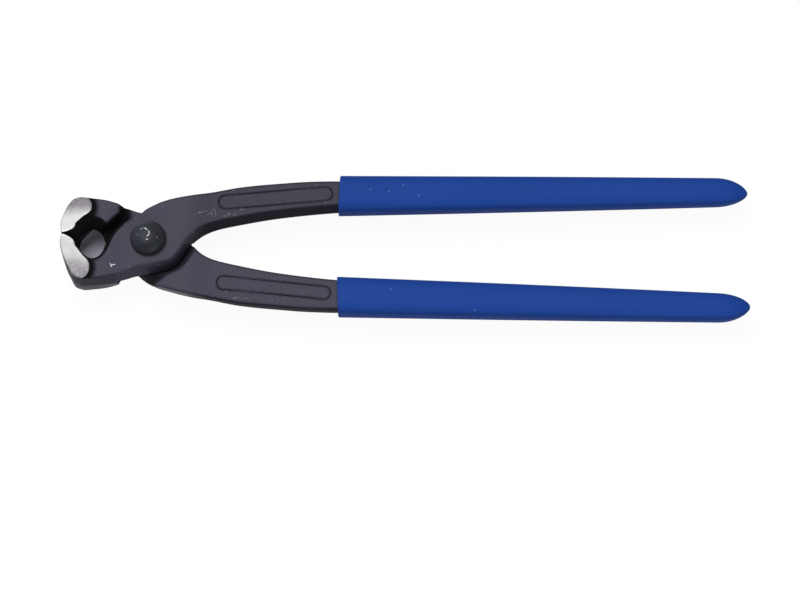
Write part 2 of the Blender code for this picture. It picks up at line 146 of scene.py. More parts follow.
# Plan of one jaw, as places along X for each distance from the cutting plane
JAW_FRONT = ((0, -30.9), (1.9, -31.2), (4.35, -31.4), (8.0, -30.7), (12, -29.3), (14.4, -27.8),
             (15.6, -26.2), (16.1, -24.6))
JAW_REAR = ((0, -30.9 + EDGE_LAND), (1.3, -27.7), (2.5, -26.25), (3.2, -26.05), (4.3, -25.95),
            (5.2, -25.3), (6.2, -24.5), (7.5, -23.3), (8.7, -21.9), (9.6, -21.1), (11.0, -20.7),
            (12.3, -20.8), (13.9, -21.4), (15.0, -22.5), (15.6, -23.9), (17.0, -26.0))
JAW_CORNER = ((-24.6, -16.1), (-24.0, -16.12))   # round the end of the jaw to the body's edge
JAW_SPAN = (0.5, 15.9)    # the jaw's front is followed between these distances from the cut
JAW_CLEAR = 17.5          # a distance just outside the jaw
BEVEL_DEPTH = 1.3         # the jaw's rear is a straight bevel to this distance, with a short ease
BEVEL_EASE = 0.3
# Gap from the reach of the other plate to the nose of the jaw's neck, by direction in degrees
NOSE_GAP = ((112, 3.7), (130, 3.3), (134, 2.5), (137, 1.9), (155, 1.5), (159, 1.7), (163, 2.6),
            (185, 3.0))
PLATE_END_X = 24.6        # the plate's lower edge is followed to this place
ARM_START = 236.0         # from this direction on, the pocket's edge is the arm's
ARM_BLEND = 8.0           # and its ramp is the arm's this many degrees further
POCKET_SPARE = 1.6
LAP_WALL_END = -5.5       # the painted shadow on the lap pocket's wall reaches down to this height
POCKET_ROUND = 0.3        # rounding in the pocket's corner, on its rim and on the hole's rim
POCKET_RIM = 0.5
HOLE_RIM = 0.3
# How far the pocket's wall leans out, as a share of its ramp, by depth below the lap plane
POCKET_WALL = ((-LAP_GAP / 2, 0.0), (1.0, 0.12), (2.6, 0.42), (4.4, 0.9), (7.1, 1.25))

# Marks, as rows of points in the plan: bright chips, faint scratches, the rivet's painted highlights and
# dust
FRONT_CHIPS = (((-13.2, -9.75), (-12.85, -10.95)), ((-12.9, -10.4), (-11.6, -9.95)))
FRONT_SCRATCHES = (((16.45, 9.65), (17.58, 10.28), (21.17, 11.24)),
                   ((20.92, 9.51), (21.62, 10.51), (22.25, 10.98), (22.57, 10.06), (22.17, 9.06)),
                   ((22.87, 12.07), (23.68, 11.46), (23.94, 10.23), (23.46, 9.15)),
                   ((-6.8, -10.75), (-6.5, -10.7)), ((3.7, -9.2), (4.0, -9.1)),
                   ((-8.6, 5.55), (-8.3, 5.75)), ((-5.0, 7.6), (-4.7, 7.75)),
                   ((15.8, 2.8), (16.3, 3.2)), ((26.97, 9.2), (29.1, 10.43)),
                   ((30.4, 9.95), (31.3, 10.3)), ((32.68, 11.9), (33.6, 12.2)),
                   ((62.99, 15.3), (64.6, 16.1)), ((29.9, 19.4), (30.2, 19.5)),
                   ((50.2, 21.2), (50.6, 21.25)), ((59.9, 22.1), (60.2, 22.15)))
REAR_SCRATCHES = (((28.3, -19.1), (28.7, -19.3)), ((45.0, -22.3), (45.3, -22.35)),
                  ((31.1, -21.9), (33.3, -21.5)), ((34.4, -22.0), (36.2, -21.8)))
# a hook-shaped painted highlight on the rivet's crown
RIVET_HIGHLIGHT_HOOK = (((-2.43, 2.12), (-1.55, 2.59), (-0.64, 2.37)),
              ((-0.5, 2.1), (0.32, 1.61), (0.71, 0.7), (0.52, -0.14), (0.04, -0.61)),
              ((-0.43, -1.45), (-0.13, -1.98), (0.22, -1.75)))
# two faint painted highlights on the rivet's dome
RIVET_HIGHLIGHT_SPOTS = (((-3.93, 0.18), (-3.7, -0.05)), ((3.43, -0.74), (3.66, -1.04)))
SLEEVE_DUST = (((91.5, 21.8), (91.8, 21.8)), ((79.7, 20.0), (79.9, 20.1)),
               ((86.4, 19.3), (86.6, 19.3)), ((97.2, 17.9), (97.5, 17.9)),
               ((87.5, -18.0), (87.7, -18.0)), ((117.6, -25.3), (117.9, -25.3)))

FIELD_STEP = 0.3
FIELD_LOW = (-32.8, -17.9, -12.7)
FIELD_HIGH = (74.6, 27.0, 12.8)
FAR = 90.0                # outside every shape
RING_POINTS = 96          # round the rivet and the sleeves

# Colours of the steel: the forge's black, its grain, where it is worn, painted shade in deep corners and
# on walls, painted shade on the front arm, marks
BLACK_LOW = (0.031, 0.0295, 0.046)
BLACK_HIGH = (0.043, 0.041, 0.063)
BLACK_GRAIN = (0.064, 0.062, 0.084)
BLACK_WORN = (0.19, 0.185, 0.215)
PAINTED_SHADE_BLACK = (0.0025, 0.0022, 0.003)
ARM_SHADE_BLACK = (0.005, 0.005, 0.006)
SCRATCH_GREY = (0.24, 0.235, 0.27)
CHIP_GREY = (0.75, 0.75, 0.78)
# Ground jaw sides, by the cutting edge and with a painted shade at the jaw's outside, and their pale
# clouds
FRONT_BRIGHT = (0.36, 0.355, 0.36)
REAR_BRIGHT = (0.50, 0.495, 0.505)
GROUND_PAINTED_SHADE = (0.155, 0.145, 0.158)
GROUND_PALE = (0.62, 0.615, 0.62)
FRONT_ARM_SHADE = 0.2     # painted shade: the front arm is this much darker than its plate
# Where each look of the steel sets in and where it is full, in millimetres
GROUND_SHADE_START = (6.0, 13.0)         # from the cutting plane, the ground side's painted shade
ARM_SHADE_START = (8.0, 24.0)     # along X
MARK_HEIGHT = (2.0, 3.0)          # marks lie on the near face only
GROUND_UNDER = (0.34, 0.2)        # below the ground side, and behind its rear edge
GROUND_REACH = (0.12, 0.02)
# painted shade in the hollow behind the ground side
HOLLOW_FADE = (3.2, 1.1)          # behind the ground side, and high up
HOLLOW_START = (-0.5, 0.0)
HOLLOW_HEIGHT = (5.4, 6.6)
# painted shade on the eye's walls
EYE_DEPTH = (3.5, 2.9)            # into the steel from the eye, and its two ends along X
EYE_BACK = (-8.0, -10.0)
EYE_FRONT = (-30.5, -29.8)
# painted shadow from the neck's nose, on the lap pocket next to it
LAP_WALL_REACH = (1.6, 0.9)       # out from the lap pocket's edge
LAP_WALL_START = (-5.5, -8.5)
# painted shadow at the foot of the plate, on the arm's ramp
ARM_RAMP_REACH = (4.2, 0.6)
ARM_RAMP_START = (-5.0, 0.0)
# painted shade on the arm's steep sides
ARM_WALL_START = (12.0, 22.0)
# painted shade on the neck's steep sides
NECK_WALL_START = (-9.0, -13.0)
NECK_WALL_HEIGHT = (-1.5, 0.5)
STEEP_LEVEL = (0.93, 0.72)        # how level the skin is, from a face to a wall
# painted shade in grooves and creases, where the skin lies below its neighbours
GROOVE_STAND = (-0.03, -0.15)     # how far the skin stands out, below nought in a groove
# Strength of the painted shade, the darkest steel, on the weaker of these places
ARM_RAMP_DARK = 0.85
ARM_WALL_DARK = 0.65
NECK_DARK = 0.3
GROOVE_DARK = 0.85

# Colours of the rivet, with its painted sheen and painted highlights, and of the vinyl
RIVET_LOW = (0.014, 0.0155, 0.019)
RIVET_HIGH = (0.020, 0.0225, 0.028)
RIVET_PAINTED_SHEEN = (0.034, 0.036, 0.054)
RIVET_PAINTED_GLINT = (0.30, 0.31, 0.33)
RIVET_PAINTED_HIGHLIGHT = (0.62, 0.62, 0.63)
RIVET_TOP = (5.0, 6.5)            # the painted highlights lie only on the head's upper part
VINYL_LOW = (0.0100, 0.045, 0.240)
VINYL_HIGH = (0.0130, 0.053, 0.268)
VINYL_DUST = (0.12, 0.22, 0.55)

# Floor and light
EYE_FLOOR = (-21.9, 4.0)  # where the floor is seen through the eye
EYE_FLOOR_RIM = (5.2, 8.5)        # the painted shadow ends between these distances
EYE_PAINTED_SHADOW = (0.45, 0.44, 0.52)
FLOOR_HALF = 2.0
FLOOR_PALE = (0.98, 0.98, 0.98)
FLOOR_OWN_WHITE = 0.95
FLOOR_BOUNCE = (0.12, 0.12, 0.12)
AMBIENT = 0.11
KEY_LAMP = ((-0.45, 0.50, 2.0), 1.4, 46)      # place, size and power
FILL_LAMP = ((0.5, -1.1, 0.45), 0.8, 8.0)

# Camera: looks down on the flat tool from the lower handle's side
CAMERA_TILT = radians(18.80)                  # from straight down, towards -Y
CAMERA_TURN = radians(0.873)
CAMERA_ROLL = radians(-0.275)
CAMERA_DISTANCE = 1.17129
CAMERA_LENS = 146.55
CAMERA_TARGET = Vector((-0.00194, -0.02026, 0.012))


def curve(points, x):
    """A smooth curve through the points: cubic pieces whose slopes never overshoot."""
    px, py = np.array(points, float).T
    width = np.diff(px)
    slope = np.diff(py) / width
    same = slope[:-1] * slope[1:] > 0
    weight_a, weight_b = 2 * width[1:] + width[:-1], width[1:] + 2 * width[:-1]
    safe_a, safe_b = np.where(same, slope[:-1], 1.0), np.where(same, slope[1:], 1.0)
    mean = (weight_a + weight_b) / (weight_a / safe_a + weight_b / safe_b)
    tangent = np.concatenate([slope[:1], np.where(same, mean, 0.0), slope[-1:]])
    x = np.clip(np.asarray(x, float), px[0], px[-1])
    i = np.clip(np.searchsorted(px, x, side="right") - 1, 0, len(width) - 1)
    t = (x - px[i]) / width[i]
    rise = (2 * t ** 3 - 3 * t ** 2 + 1) * py[i] + (3 * t ** 2 - 2 * t ** 3) * py[i + 1]
    lean = (t ** 3 - 2 * t ** 2 + t) * tangent[i] + (t ** 3 - t ** 2) * tangent[i + 1]
    return rise + lean * width[i]


def both(a, b, width):
    """Where both fields hold: the greater of the two, with the corner rounded over the width."""
    blend = np.clip(width - np.abs(a - b), 0, None)
    return np.maximum(a, b) + blend ** 2 / (4 * np.maximum(width, 1e-6))


def ease(low, high, value):
    """Rises smoothly from 0 at low to 1 at high."""
    t = np.clip((value - low) / (high - low), 0, 1)
    return t * t * (3 - 2 * t)


def line_distance(line, x, y):
    """Distance in the plan from every point to a line drawn through the given points."""
    nearest = np.full(x.shape, FAR)
    for (ax, ay), (bx, by) in zip(line[:-1], line[1:]):
        dx, dy = bx - ax, by - ay
        t = np.clip(((x - ax) * dx + (y - ay) * dy) / (dx * dx + dy * dy), 0, 1)
        nearest = np.minimum(nearest, np.hypot(x - ax - t * dx, y - ay - t * dy))
    return nearest


def within(outline, x, y):
    """True where a point lies inside a closed outline, by counting the edges to its right."""
    inside = np.zeros(x.shape, bool)
    ax, ay = outline[-1]
    for bx, by in outline:
        if by != ay:
            inside ^= ((by > y) != (ay > y)) & (x < (ax - bx) * (y - by) / (ay - by) + bx)
        ax, ay = bx, by
    return inside


def edge_field(line, closing, x, y):
    """Distance to a line, negative on the side that the closing points shut in."""
    side = within([*line, *closing], x, y)
    return np.where(side, -1, 1) * line_distance(line, x, y)


def outer_line():
    """The front of the jaw, round its corner and along the edge nearer the other handle."""
    far = np.concatenate([[CUT_GAP / 2], np.linspace(*JAW_SPAN, 50)])
    jaw = [(float(curve(JAW_FRONT, d)), -d) for d in far]
    body = [(x, float(curve(LOW_EDGE, x))) for x in np.linspace(LOW_EDGE[0][0], LOW_EDGE[-1][0], 260)]
    return [(jaw[0][0], 5.0), *jaw, *JAW_CORNER, *body]


def inner_line():
    """The cutting bevel, the eye, over the rivet and along the outside of the handle."""
    far = np.linspace(EYE_WALL[0][0], EYE_WALL[-1][0], 40)
    jaw = [(float(curve(EYE_WALL, d)), -d) for d in far]
    body = [(x, float(curve(HIGH_EDGE, x))) for x in np.linspace(HIGH_EDGE[0][0], HIGH_EDGE[-1][0], 320)]
    return [(jaw[0][0] - 3, jaw[0][1]), *jaw, *body]


def ground_line():
    """Rear edge of the ground side, from the cutting edge round to the outside of the jaw."""
    start, bevel = JAW_REAR[:2]
    far = np.linspace(BEVEL_DEPTH + BEVEL_EASE, JAW_REAR[-1][0], 60)
    rest = [(float(curve(JAW_REAR, d)), -d) for d in far]
    return [(start[1], -CUT_GAP / 2), (bevel[1], -bevel[0]), *rest]


def plate_reach(direction):
    """Distance from the rivet to the plate's own edge, by direction in degrees."""
    upper = np.linspace(0, HIGH_EDGE[NOSE_POINT - 1][0], 40)
    lower = np.linspace(LOW_EDGE[0][0], PLATE_END_X, 130)
    below = curve(LOW_EDGE, lower) < 0
    x = np.concatenate([upper, lower[below]])
    y = np.concatenate([curve(HIGH_EDGE, upper), curve(LOW_EDGE, lower[below])])
    angle = np.degrees(np.arctan2(y, x)) % 360
    order = np.argsort(angle)
    return np.interp(direction, angle[order], np.hypot(x, y)[order])


def pocket_line():
    """Edge of the lap pocket: the reach of the other plate while the tool opens, and its gap."""
    direction = np.arange(0.0, 360.0, 1.5)
    turned = direction[:, None] - np.linspace(0, OPENING, 26)
    swept = plate_reach(turned).max(1)
    nose = (direction > NOSE_GAP[0][0]) & (direction < NOSE_GAP[-1][0])
    radius = np.where(direction < ARM_START, plate_reach(360 - direction) + POCKET_SPARE,
                      swept + ARM_GAP)
    radius = np.where(nose, swept + curve(NOSE_GAP, direction), radius)
    angle = np.radians(direction)
    line = [(r * cos(a), -r * sin(a)) for r, a in zip(radius, angle)]
    return [*line, line[0]]


def panel_dip(ends, width, x, y):
    """Depth of a pressed outline: a round groove along a line with half-round ends."""
    (x0, y0), (x1, y1) = ends
    off = np.abs(line_distance([(x0, y0), (x1, y1)], x, y) - width / 2)
    return PANEL_DEPTH * ease(PANEL_LINE / 2, 0, off)


def steepness(height):
    """Length of a step across the sloping height, for each step of the plan."""
    dx, dy = np.gradient(height, FIELD_STEP)
    return np.sqrt(1 + dx ** 2 + dy ** 2)


def forging_plan():
    """Everything about a half that depends on the plan alone, on one grid of x and y."""
    xs = np.arange(FIELD_LOW[0], FIELD_HIGH[0], FIELD_STEP)
    ys = np.arange(FIELD_LOW[1], FIELD_HIGH[1], FIELD_STEP)
    x, y = np.meshgrid(xs, ys, indexing="ij")
    plan = {"x": x, "y": y}
    outer, inner, ground = outer_line(), inner_line(), ground_line()
    plan["outer"] = edge_field(outer, [(FAR, FAR), (outer[0][0], FAR)], x, y)
    plan["inner"] = edge_field(inner, [(FAR, -FAR), (-FAR, -FAR), (-FAR, inner[0][1])], x, y)
    plan["ground"] = edge_field(ground, [(-FAR, -JAW_CLEAR), (-FAR, 0)], x, y)
    side = JAW_HALF - JAW_SIDE_SLOPE * np.abs(y)
    body = curve(BODY_HALF, x)
    share = np.clip(plan["ground"] / HOLLOW_RUN, 0, 1)
    behind = body + (side - body) * (1 - share) ** HOLLOW_CURVE
    height = np.where(plan["ground"] < 0, side, behind)
    height = np.where(x < JAW_END_X, height, body)
    plan["side"], plan["height"] = side, height
    line = pocket_line()
    plan["pocket"] = np.where(within(line, x, y), -1, 1) * line_distance(line, x, y)
    return plan


def forging_field(plan):
    """Negative inside the half: under its two faces, between its drafted edges, less the pocket."""
    x, y, height = plan["x"], plan["y"], plan["height"]
    z = np.arange(FIELD_LOW[2], FIELD_HIGH[2], FIELD_STEP)[None, None, :]
    flat = {"top": height - panel_dip(PANEL_FRONT, FRONT_WIDTH, x, y),
            "bottom": height - panel_dip(PANEL_BACK, BACK_WIDTH, x, y)}
    share, drop = z / height[:, :, None], curve(PARTING_SHARE, x)[:, :, None]
    low_wall = plan["outer"][:, :, None] + curve(LOW_DRAFT, x)[:, :, None] * np.abs(share)
    away = np.abs(share + drop) / (1 + drop)
    high_wall = plan["inner"][:, :, None] + curve(HIGH_DRAFT, x)[:, :, None] * away
    top = (z - flat["top"][:, :, None]) / steepness(flat["top"])[:, :, None]
    bottom = (-z - flat["bottom"][:, :, None]) / steepness(flat["bottom"])[:, :, None]
    face = np.maximum(top, bottom)
    field = both(low_wall, face, curve(LOW_ROUND, x)[:, :, None])
    field = both(high_wall, field, curve(HIGH_ROUND, x)[:, :, None])
    field = np.maximum(field, x[:, :, None] - FORGING_END_X)
    turn = np.degrees(np.arctan2(-y, x)) % 360
    lean = NOSE_RAMP + (ARM_RAMP - NOSE_RAMP) * ease(ARM_START, ARM_START + ARM_BLEND, turn)
    depth = curve(POCKET_WALL, -z)
    cut = both(plan["pocket"][:, :, None] - lean[:, :, None] * depth, z - LAP_GAP / 2, POCKET_ROUND)
    field = both(field, -cut, POCKET_RIM)
    hole = HOLE_RADIUS - np.hypot(x, y)
    return both(field, hole[:, :, None], HOLE_RIM) + SKIN_CUT


def skin(field):
    """A net of quads on the nought level: one point in each cell that the level passes through,
    at the mean of the crossings on the cell's edges, and one quad round each crossed edge."""
    shape = np.array(field.shape)
    stride = np.array([shape[1] * shape[2], shape[2], 1])
    cells, places, loops = [], [], []
    for axis in range(3):
        swapped = np.moveaxis(field, axis, 0)
        near, far = swapped[:-1], swapped[1:]
        at = np.argwhere((near < 0) != (far < 0))
        a, b = near[tuple(at.T)], far[tuple(at.T)]
        edge = np.empty_like(at)
        edge[:, axis] = at[:, 0]
        edge[:, [k for k in range(3) if k != axis]] = at[:, 1:]
        place = edge.astype(float)
        place[:, axis] += a / (a - b)
        u, v = (axis + 1) % 3, (axis + 2) % 3
        quad = [edge @ stride - stride[u] * du - stride[v] * dv
                for du, dv in ((1, 1), (0, 1), (0, 0), (1, 0))]
        quad = np.stack(quad, 1)
        quad[a > 0] = quad[a > 0][:, ::-1]
        loops.append(quad)
        cells.append(quad.ravel())
        places.append(np.repeat(place, 4, axis=0))
    cell, index = np.unique(np.concatenate(cells), return_inverse=True)
    place = np.concatenate(places)
    count = np.bincount(index)
    mean = np.stack([np.bincount(index, place[:, k]) / count for k in range(3)], 1)
    return mean * FIELD_STEP + np.array(FIELD_LOW), index.reshape(-1, 4)


def crest_and_level(points, faces):
    """How far each point stands out from the middle of its neighbours, square to the skin, over
    the field's step: above nought on an edge, below it in a hollow. And how level the skin is
    there: 1 on a flat face, 0 on an upright wall."""
    corner = points[faces]
    across = np.cross(corner[:, 2] - corner[:, 0], corner[:, 3] - corner[:, 1])
    normal, middle = np.zeros_like(points), np.zeros_like(points)
    count = np.bincount(faces.ravel(), minlength=len(points))
    for k in range(4):
        for axis in range(3):
            normal[:, axis] += np.bincount(faces[:, k], across[:, axis], len(points))
            after = corner[:, (k + 1) % 4, axis]
            middle[:, axis] += np.bincount(faces[:, k], after, len(points))
    normal /= np.linalg.norm(normal, axis=1)[:, None]
    return ((points - middle / count[:, None]) * normal).sum(1) / FIELD_STEP, np.abs(normal[:, 2])


def read_plan(values, points):
    """Value of a plan grid under each point, blended between the four nearest grid places."""
    place = (points[:, :2] - np.array(FIELD_LOW[:2])) / FIELD_STEP
    low = np.clip(np.floor(place).astype(int), 0, np.array(values.shape) - 2)
    (i, j), (s, t) = low.T, (place - low).T
    near = values[i, j] * (1 - s) + values[i + 1, j] * s
    far = values[i, j + 1] * (1 - s) + values[i + 1, j + 1] * s
    return near * (1 - t) + far * t


def mesh_piece(name, points, faces, body, node, values=None):
    """Puts points in millimetres about the rivet into a smooth mesh that rides on a CAD body."""
    mesh = bpy.data.meshes.new(name)
    mesh.from_pydata((points + RIVET_AXIS) * MM, [], faces)
    mesh.shade_smooth()
    for key, value in (values or {}).items():
        mesh.attributes.new(key, "FLOAT", "POINT").data.foreach_set("value", value.astype(np.float32))
    piece = bpy.data.objects.new(name, mesh)
    bpy.context.collection.objects.link(piece)
    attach(piece, body)
    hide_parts(node)
    return piece


def grid_faces(rows, columns, first=0):
    """Quads of a grid whose columns close into rings."""
    row, column = np.meshgrid(np.arange(rows - 1), np.arange(columns), indexing="ij")
    after = (column + 1) % columns
    corners = [row * columns + column, row * columns + after,
               (row + 1) * columns + after, (row + 1) * columns + column]
    return np.stack(corners, -1).reshape(-1, 4) + first


def tube(rings):
    """Closed skin over rings of equal counts, with a fan to the middle of each end ring."""
    rings = np.asarray(rings, float)
    rows, columns = rings.shape[:2]
    points = np.concatenate([rings.reshape(-1, 3), [rings[0].mean(0), rings[-1].mean(0)]])
    column = np.arange(columns)
    after = (column + 1) % columns
    start = np.stack([np.full(columns, rows * columns), after, column], 1)
    last = (rows - 1) * columns
    end = np.stack([np.full(columns, rows * columns + 1), last + column, last + after], 1)
    return points, [*grid_faces(rows, columns).tolist(), *start.tolist(), *end.tolist()]


def turned(points):
    """The same shape turned half a turn about X."""
    return points * np.array([1.0, -1.0, -1.0])


def swollen(points):
    """The outer side of the arm moved out by its swell, and nothing moved at the inner side."""
    x, y, z = points.T
    edge = curve(HIGH_EDGE, x)
    out = curve(REAR_SWELL, x) * ease(edge - SWELL_BAND[0], edge - SWELL_BAND[1], y)
    return np.stack([x, y + out, z], 1)


def corner_worn(points):
    """The front of the jaw drawn back towards its outer corner."""
    x, y, z = points.T
    back = curve(CORNER_WORN, -y) * ease(*CORNER_START, x)
    return np.stack([x + back, y + back * CORNER_INWARD, z], 1)


def make_forgings():
    """Both halves from one skin. Each point knows its distance behind the ground side and below it,
    into the steel from the eye and out from the lap pocket, and how far it stands out."""
    plan = forging_plan()
    points, faces = skin(forging_field(plan))
    reach = read_plan(plan["ground"], points)
    under = read_plan(plan["side"], points) - np.abs(points[:, 2])
    eye = -read_plan(plan["inner"], points)
    by_lap = (points[:, 2] < 2 * LAP_GAP) & (points[:, 2] > LAP_WALL_END)
    lap = np.where(by_lap, read_plan(plan["pocket"], points), FAR)
    crest, level = crest_and_level(points, faces)
    values = {"ground_reach": reach, "ground_under": under, "eye_depth": eye, "lap_reach": lap,
              "crest": crest, "level": level}
    front = mesh_piece("front_forging", corner_worn(points), faces, "front", "front_half",
                       values)
    rear = mesh_piece("rear_forging", turned(swollen(points)), faces, "rear", "rear_half",
                      values)
    return front, rear


def make_rivet():
    """A profile turned about Z: domed head, shank through the lap, and a flatter peened tail."""
    head = np.linspace(0, pi / 2, 22)[1:]
    tail = np.linspace(pi / 2, 0, 16)[:-1]
    profile = [(HEAD_RADIUS * sin(a) ** HEAD_FULLNESS,
                SEAT_HEIGHT + HEAD_HEIGHT * (1 - HEAD_CAP + HEAD_CAP * cos(a))) for a in head]
    profile += [(HEAD_RADIUS * RIM_OUT, SEAT_HEIGHT + RIM_ROUND), (HEAD_RADIUS * RIM_IN, SEAT_HEIGHT)]
    profile += [(SHANK_RADIUS, SEAT_HEIGHT), (SHANK_RADIUS, -SEAT_HEIGHT)]
    profile += [(TAIL_RADIUS * RIM_IN, -SEAT_HEIGHT)]
    profile += [(TAIL_RADIUS * sin(a) ** TAIL_FULLNESS, -SEAT_HEIGHT - TAIL_HEIGHT * cos(a) ** TAIL_CROWN)
                for a in tail]
    profile = np.array(profile)
    turn = np.linspace(0, 2 * pi, RING_POINTS, endpoint=False)
    radius, height = profile[:, :1], profile[:, 1:]
    rings = np.stack([radius * np.cos(turn), -radius * np.sin(turn),
                      np.broadcast_to(height, (len(profile), RING_POINTS))], -1)
    points, faces = tube(rings)
    top, bottom = len(points) - 2, len(points) - 1
    points[top] = (0, 0, SEAT_HEIGHT + HEAD_HEIGHT)
    points[bottom] = (0, 0, -SEAT_HEIGHT - TAIL_HEIGHT)
    return mesh_piece("rivet", points, faces, "front", "pivot_rivet")


def sleeve_rings(x, shrink):
    """Ovals along the handle line, a little squarer than ellipses, closing over the tip."""
    end = MOUTH_X + SLEEVE_LENGTH
    u = np.clip((x - end + TIP_LENGTH) / TIP_LENGTH, 0, 1)
    centre = curve(HANDLE_LINE, x - MOUTH_X) - TIP_LEAN * u ** 2
    wide = SLEEVE_TRIM * curve(SLEEVE_HALF, x - MOUTH_X) * (1 - u ** 2) ** TIP_POWER - shrink
    turn = np.linspace(0, 2 * pi, RING_POINTS, endpoint=False)
    c, s = np.cos(turn), np.sin(turn)
    across = np.sign(c) * np.abs(c) ** SQUARE_POWER
    y = centre[:, None] + wide[:, None] * across
    z = wide[:, None] * SLEEVE_FLATNESS * np.sign(s) * np.abs(s) ** SQUARE_POWER
    slant = MOUTH_SLANT * np.clip(1 - (x - MOUTH_X) / SLANT_RUN, 0, 1)
    return np.stack([x[:, None] + slant[:, None] * across, y, z], -1)


def make_sleeves():
    """Two dipped sleeves: skin from the middle of the mouth, round its lip and on to the tip."""
    end = MOUTH_X + SLEEVE_LENGTH
    along = np.linspace(MOUTH_X + LIP_ROUND, end - TIP_LENGTH, 60)
    tip = end - TIP_LENGTH * (1 - TIP_CLOSED * np.sin(np.linspace(0, pi / 2, 20)[1:]))
    lip = np.linspace(pi / 2, 0, 6)
    x = np.concatenate([MOUTH_X + LIP_ROUND * (1 - np.sin(lip)), along[1:], tip])
    shrink = np.concatenate([LIP_ROUND * (1 - np.cos(lip)), np.zeros(len(along) - 1 + len(tip))])
    rings = sleeve_rings(x, shrink + SKIN_CUT)
    points, faces = tube(rings)
    front = mesh_piece("front_sleeve", points, faces, "front", "front_grip")
    rear = mesh_piece("rear_sleeve", turned(points), faces, "rear", "rear_grip")
    return front, rear


class Wire:
    """A shader socket that takes part in sums as a number does, by adding Math nodes."""

    def __init__(self, finish, socket):
        self.finish, self.socket = finish, socket

    def math(self, operation, first, second=0.0):
        """The result of one Math node on two numbers or wires."""
        return self.finish.node("ShaderNodeMath", {"operation": operation}, {0: first, 1: second})

    def __add__(self, other):
        return self.math("ADD", self, other)

    def __sub__(self, other):
        return self.math("SUBTRACT", self, other)

    def __rsub__(self, other):
        return self.math("SUBTRACT", other, self)

    def __mul__(self, other):
        return self.math("MULTIPLY", self, other)

    def __abs__(self):
        return self.math("ABSOLUTE", self)

    __radd__, __rmul__ = __add__, __mul__


class Finish:
    """A material or world in the making. Patterns are in millimetres about the rivet's axis."""

    def __init__(self, owner):
        self.owner = owner
        owner.use_nodes = True
        self.tree = owner.node_tree
        self.tree.nodes.clear()

    def node(self, kind, settings=None, inputs=None, output=0):
        """Adds a node: its settings first, then a value or a wire for each named socket."""
        made = self.tree.nodes.new(kind)
        for key, value in (settings or {}).items():
            setattr(made, key, value)
        for key, value in (inputs or {}).items():
            if isinstance(value, Wire):
                self.tree.links.new(value.socket, made.inputs[key])
            else:
                made.inputs[key].default_value = value
        return Wire(self, made.outputs[output]) if len(made.outputs) else None

    def place(self, stretch=(1, 1, 1)):
        """Millimetres about the rivet's axis, with each direction multiplied by its stretch."""
        metres = self.node("ShaderNodeTexCoord", output="Object")
        centred = self.node("ShaderNodeVectorMath", {"operation": "SUBTRACT"},
                            {0: metres, 1: tuple(RIVET_AXIS * MM)})
        return self.node("ShaderNodeVectorMath", {"operation": "MULTIPLY"},
                         {0: centred, 1: tuple(v / MM for v in stretch)})

    def axes(self):
        """The three millimetre coordinates as single numbers."""
        parts = self.node("ShaderNodeSeparateXYZ", inputs={0: self.place()})
        outputs = parts.socket.node.outputs
        return [Wire(self, outputs[k]) for k in range(3)]

    def noise(self, size, detail=2.0, stretch=(1, 1, 1)):
        """Soft noise from 0 to 1, with blotches of about the given size in millimetres."""
        return self.node("ShaderNodeTexNoise", inputs={
            "Vector": self.place(stretch), "Scale": 1 / size, "Detail": detail})

    def specks(self, spacing, size, share):
        """Round spots of the given size, at a share of the cells of the given spacing."""
        cell = {"Vector": self.place(), "Scale": 1 / spacing}
        near = self.node("ShaderNodeTexVoronoi", {"feature": "F1"}, cell, "Distance")
        chance = self.node("ShaderNodeTexVoronoi", {"feature": "F1"}, cell, "Color")
        chance = self.node("ShaderNodeSeparateColor", inputs={0: chance})
        spot = self.between(near, size / spacing, size / spacing * 0.4)
        return spot * self.between(chance, share, share * 0.9)

    def between(self, value, low, high):
        """0 at low, 1 at high, and smooth on the way; low may be the greater."""
        flip = low > high
        ends = {"From Min": min(low, high), "From Max": max(low, high),
                "To Min": float(flip), "To Max": float(not flip)}
        return self.node("ShaderNodeMapRange", {"interpolation_type": "SMOOTHSTEP"},
                         {"Value": value, **ends})

    def strokes(self, lines, width):
        """1 on short strokes drawn in the plan, each a row of points, and 0 beside them."""
        flat = self.node("ShaderNodeVectorMath", {"operation": "MULTIPLY"},
                         {0: self.place(), 1: (1, 1, 0)})
        nearest = None
        for line in lines:
            for (ax, ay), (bx, by) in zip(line[:-1], line[1:]):
                run = Vector((bx - ax, by - ay, 0))
                off = self.vector("SUBTRACT", flat, (ax, ay, 0))
                along = self.vector("DOT_PRODUCT", off, tuple(run / run.length_squared), "Value")
                along = self.node("ShaderNodeClamp", inputs={"Value": along})
                foot = self.node("ShaderNodeVectorMath", {"operation": "SCALE"},
                                 {0: tuple(run), "Scale": along})
                away = self.vector("DISTANCE", off, foot, "Value")
                nearest = away if nearest is None else nearest.math("MINIMUM", nearest, away)
        return self.between(nearest, width / 2, width / 5)

    def vector(self, operation, first, second, output=0):
        """The result of one Vector Math node on two vectors or wires."""
        return self.node("ShaderNodeVectorMath", {"operation": operation},
                         {0: first, 1: second}, output)

    def attribute(self, name):
        """A number that the mesh keeps at each of its points."""
        return self.node("ShaderNodeAttribute", {"attribute_name": name}, output="Fac")

    def mix(self, share, first, second):
        """A colour between two colours."""
        colours = {6: first if isinstance(first, Wire) else (*first, 1.0),
                   7: second if isinstance(second, Wire) else (*second, 1.0), 0: share}
        return self.node("ShaderNodeMix", {"data_type": "RGBA"}, colours, 2)

    def bump(self, height, reach, strength=1.0):
        """Shading of a relief whose height runs from 0 to 1 over the reach in millimetres."""
        return self.node("ShaderNodeBump", inputs={
            "Height": height, "Distance": reach * MM, "Strength": strength})

    def surface(self, inputs):
        """Ends the material with a Principled shader."""
        shader = self.node("ShaderNodeBsdfPrincipled", inputs=inputs)
        self.node("ShaderNodeOutputMaterial", inputs={"Surface": shader})
        return self.owner


